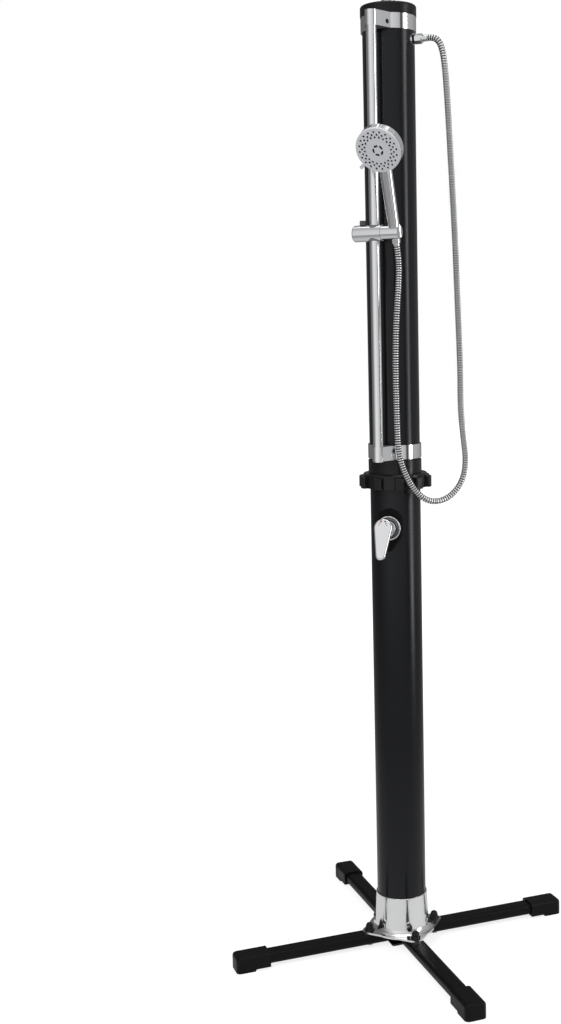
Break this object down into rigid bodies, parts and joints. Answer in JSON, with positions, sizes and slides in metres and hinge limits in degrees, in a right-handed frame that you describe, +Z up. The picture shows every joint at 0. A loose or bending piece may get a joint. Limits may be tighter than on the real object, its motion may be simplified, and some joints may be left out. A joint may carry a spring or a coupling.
{
  "type": "freestanding solar outdoor shower",
  "caption": "Freestanding black tube solar shower on a cross base, with a mixer lever, threaded union, riser rail, sliding tilting handset holder and hose.",
  "frame": {"origin": "on the floor under the axis of the tank tube, at the middle of the cross base", "axes": "+Z up the tube, -Y towards the user's side with the rail, lever and handset, +X the side where the hose leaves the tube; the legs lie on the diagonals"},
  "size_m": [0.5904, 0.5904, 2.074],
  "materials": {
    "black_tube": "satin",
    "bar_paint": "satin powder coat",
    "cap_plastic": "satin",
    "cast_aluminium": "polished",
    "black_steel": "black oxide",
    "black_plastic": "satin",
    "union_plastic": "semi-gloss",
    "inner_plastic": "matt",
    "chrome": "polished",
    "brass": "machined",
    "steel": "brushed",
    "black_rubber": "matt",
    "pipe_plastic": "natural",
    "grey_plastic": "satin",
    "knob_plastic": "satin",
    "ceramic_case": "matt",
    "vent_metal": "satin"
  },
  "bodies": {
    "stand": {"cross_bar_long": "bar_paint", "cross_bar_front": "bar_paint", "cross_bar_rear": "bar_paint", "foot_cap_front_left": "cap_plastic", "foot_cap_front_right": "cap_plastic", "foot_cap_rear_left": "cap_plastic", "foot_cap_rear_right": "cap_plastic", "centre_foot": "cap_plastic", "base_flange": "cast_aluminium", "socket_screws": "black_steel", "flange_bolts": "steel", "flange_nuts": "steel", "bolt_caps": "black_plastic", "lower_tube": "black_tube", "bottom_plug": "inner_plastic", "inlet_seal": "black_rubber", "inlet_fitting": "brass", "inlet_locknut": "brass", "cold_feed_pipe": "pipe_plastic", "hot_pickup_pipe": "pipe_plastic", "mixed_riser_pipe": "pipe_plastic", "union_spigot": "union_plastic", "union_gasket": "black_rubber", "union_tail": "union_plastic", "upper_tube": "black_tube", "top_cap": "black_plastic", "vent_plug": "vent_metal", "outlet_fitting": "chrome", "outlet_washer": "black_rubber", "hose_nut": "chrome", "hose_ferrule": "chrome", "mixer_saddle": "black_plastic", "mixer_body": "brass", "cartridge": "ceramic_case", "mixer_ring": "chrome", "cartridge_bonnet": "chrome", "strap_lower": "chrome", "strap_upper": "chrome", "strap_spacers": "inner_plastic", "strap_screws": "steel", "riser_rail": "chrome", "rail_plugs": "black_plastic", "shower_hose": "steel"},
    "union_carrier": {"thrust_ring": "pipe_plastic"},
    "union_nut": {"collar_nut": "union_plastic"},
    "mixer_turret": {"cartridge_turret": "ceramic_case", "stem_pin": "steel"},
    "mixer_handle": {"mixer_lever": "chrome", "lever_stem": "brass", "lever_screw": "steel"},
    "carriage": {"slide_bush": "inner_plastic"},
    "holder": {"slider_body": "chrome", "cradle_bolt": "steel"},
    "knob": {"lock_knob": "knob_plastic"},
    "cradle": {"slider_cradle": "chrome"},
    "handset": {"handset_body": "chrome", "hose_cone_nut": "chrome"},
    "spray_face": {"spray_plate": "grey_plastic", "nozzle_mat": "black_rubber"}
  },
  "joints": [
    {"name": "slider_slide", "type": "slide", "parent": "stand", "child": "carriage", "axis": [0, 0, 1], "range_m": [-0.42, 0.385], "deforming": ["shower_hose"]},
    {"name": "holder_swivel", "type": "hinge", "parent": "carriage", "child": "holder", "pos_m": [0, -0.089, 1.59], "axis": [0, 0, 1], "range_deg": [-25, 25]},
    {"name": "lock_knob_turn", "type": "hinge", "parent": "holder", "child": "knob", "pos_m": [-0.026, -0.089, 1.59], "axis": [0, 0, 1], "range_deg": [0, 90]},
    {"name": "cradle_tilt", "type": "hinge", "parent": "holder", "child": "cradle", "pos_m": [0.0455, -0.089, 1.59], "axis": [1, 0, 0], "range_deg": [-10, 30]},
    {"name": "handset_lift", "type": "slide", "parent": "cradle", "child": "handset", "axis": [0, -0.3256, 0.9455], "range_m": [0, 0.06]},
    {"name": "spray_selector", "type": "hinge", "parent": "handset", "child": "spray_face", "pos_m": [0.0455, -0.169, 1.746], "axis": [0, 0.848, 0.5299], "range_deg": [-30, 45]},
    {"name": "mixer_turn", "type": "hinge", "parent": "stand", "child": "mixer_turret", "pos_m": [0, 0, 0.966], "axis": [0.1478, -0.989, 0], "range_deg": [-45, 45]},
    {"name": "lever_lift", "type": "hinge", "parent": "mixer_turret", "child": "mixer_handle", "pos_m": [0.01271, -0.08506, 0.966], "axis": [-0.989, -0.1478, 0], "range_deg": [0, 25]},
    {"name": "union_rise", "type": "slide", "parent": "stand", "child": "union_carrier", "axis": [0, 0, 1], "range_m": [0, 0.0051]},
    {"name": "collar_turn", "type": "hinge", "parent": "union_carrier", "child": "union_nut", "pos_m": [0, 0, 1.0655], "axis": [0, 0, 1], "range_deg": [0, 360]}
  ],
  "couplings": [
    {"joint": "union_rise", "follows": "collar_turn", "m_per_rad": 0.00079577}
  ]
}
